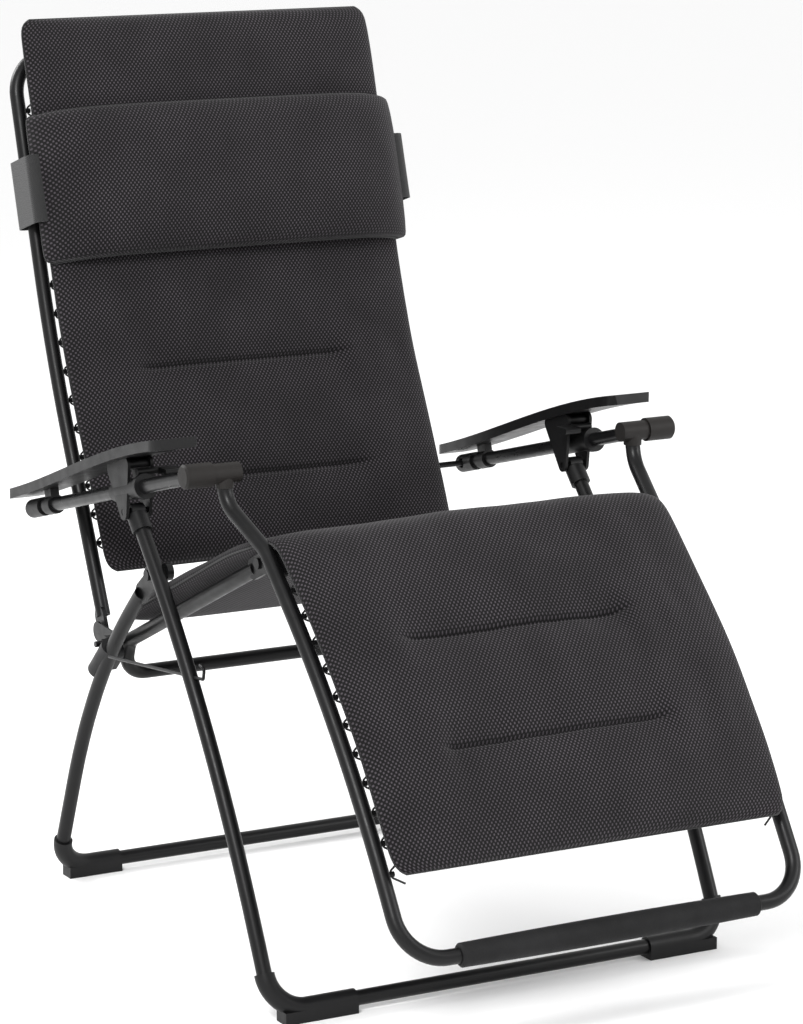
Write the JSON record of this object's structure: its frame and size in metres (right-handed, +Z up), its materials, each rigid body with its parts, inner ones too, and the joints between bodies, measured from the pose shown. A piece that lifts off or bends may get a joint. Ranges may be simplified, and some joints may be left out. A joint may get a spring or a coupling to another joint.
{
  "type": "zero gravity recliner",
  "caption": "Tubular folding lounge chair with a laced, padded back, seat and legrest, long armrests, headrest pillow and a coupled recline.",
  "frame": {"origin": "on the floor, under the middle of the chair's overall box", "axes": "+Z up, +Y to the rear, X across with symmetry about X = 0; the sitter faces -Y"},
  "size_m": [0.714, 1.1294, 1.144],
  "materials": {
    "frame_paint": "satin black powder coat",
    "arm_steel": "satin dark grey",
    "bright_steel": "blackened steel",
    "stay_wire": "blackened wire",
    "black_plastic": "fine moulded texture",
    "armrest_plastic": "satin moulded",
    "tee_plastic": "matt, slightly brown black",
    "knuckle_metal": "dark painted casting",
    "mesh_fabric": "charcoal spacer mesh",
    "strap_fabric": "black elastic webbing",
    "lace_cord": "black elastic cord",
    "foam": "closed cell foam"
  },
  "bodies": {
    "front_legs": {"front_leg_frame": "frame_paint", "front_foot_left": "black_plastic", "front_foot_right": "black_plastic", "leg_socket_left": "black_plastic", "leg_socket_right": "black_plastic", "leg_pivot_lugs": "frame_paint", "leg_pivot_pins": "bright_steel", "bracket_pins": "bright_steel", "spreader_rods": "stay_wire"},
    "rear_legs": {"rear_leg_frame": "frame_paint", "rear_foot_left": "black_plastic", "rear_foot_right": "black_plastic", "hinge_knuckle_left": "knuckle_metal", "hinge_knuckle_right": "knuckle_metal"},
    "seat": {"seat_frame": "frame_paint", "back_links": "frame_paint", "seat_pivot_pins": "bright_steel", "seat_pad": "mesh_fabric", "seat_lacing": "lace_cord", "seat_lace_clips": "black_plastic"},
    "back": {"back_frame": "frame_paint", "back_pivot_pins": "bright_steel", "arm_rear_pins": "bright_steel", "back_pad": "mesh_fabric", "back_lacing": "lace_cord", "back_lace_clips": "black_plastic"},
    "headrest": {"headrest_pillow": "mesh_fabric", "headrest_strap": "strap_fabric"},
    "legrest": {"legrest_frame": "frame_paint", "legrest_tee_left": "tee_plastic", "legrest_tee_right": "tee_plastic", "knee_lugs": "frame_paint", "knee_pins": "bright_steel", "foot_grip": "foam", "legrest_pad": "mesh_fabric", "legrest_lacing": "lace_cord", "legrest_lace_clips": "black_plastic"},
    "arms": {"arm_tube_left": "arm_steel", "arm_tube_right": "arm_steel", "arm_front_cap_left": "tee_plastic", "arm_front_cap_right": "tee_plastic", "arm_rear_cap_left": "black_plastic", "arm_rear_cap_right": "black_plastic"},
    "arm_brackets": {"arm_bracket_left": "black_plastic", "arm_bracket_right": "black_plastic", "armrest_left": "armrest_plastic", "armrest_right": "armrest_plastic", "arm_clip_left": "black_plastic", "arm_clip_right": "black_plastic"},
    "lever_left": {"lock_lever_left": "black_plastic"},
    "lever_right": {"lock_lever_right": "black_plastic"}
  },
  "joints": [
    {"name": "back_recline", "type": "hinge", "parent": "seat", "child": "back", "pos_m": [0, 0.28025, 0.359], "axis": [-1, 0, 0], "range_deg": [0, 23.41]},
    {"name": "seat_tilt", "type": "hinge", "parent": "front_legs", "child": "seat", "pos_m": [0, 0.23025, 0.355], "axis": [-1, 0, 0], "range_deg": [0, 6.6]},
    {"name": "knee_hinge", "type": "hinge", "parent": "seat", "child": "legrest", "pos_m": [0, -0.16775, 0.535], "axis": [-1, 0, 0], "range_deg": [0, 35.6]},
    {"name": "bracket_tilt", "type": "hinge", "parent": "front_legs", "child": "arm_brackets", "pos_m": [0, 0.06525, 0.563], "axis": [-1, 0, 0], "range_deg": [0, 6.54]},
    {"name": "arm_slide", "type": "slide", "parent": "arm_brackets", "child": "arms", "axis": [0, 0.9679, -0.2515], "range_m": [0, 0.0831]},
    {"name": "rear_leg_fold", "type": "hinge", "parent": "front_legs", "child": "rear_legs", "pos_m": [0, 0.05425, 0.482], "axis": [-1, 0, 0], "range_deg": [0, 65]},
    {"name": "headrest_slide", "type": "slide", "parent": "back", "child": "headrest", "axis": [0, -0.2885, -0.9575], "range_m": [0, 0.09]},
    {"name": "lock_lever_left_turn", "type": "hinge", "parent": "arm_brackets", "child": "lever_left", "pos_m": [0.326, 0.04016, 0.61752], "axis": [-1, 0, 0], "range_deg": [0, 18]},
    {"name": "lock_lever_right_turn", "type": "hinge", "parent": "arm_brackets", "child": "lever_right", "pos_m": [-0.326, 0.04016, 0.61752], "axis": [-1, 0, 0], "range_deg": [0, 18]}
  ],
  "couplings": [
    {"joint": "seat_tilt", "follows": "back_recline", "ratio": 0.2815},
    {"joint": "knee_hinge", "follows": "back_recline", "ratio": 1.5186},
    {"joint": "bracket_tilt", "follows": "back_recline", "ratio": 0.2789},
    {"joint": "arm_slide", "follows": "back_recline", "m_per_rad": 0.2031}
  ]
}
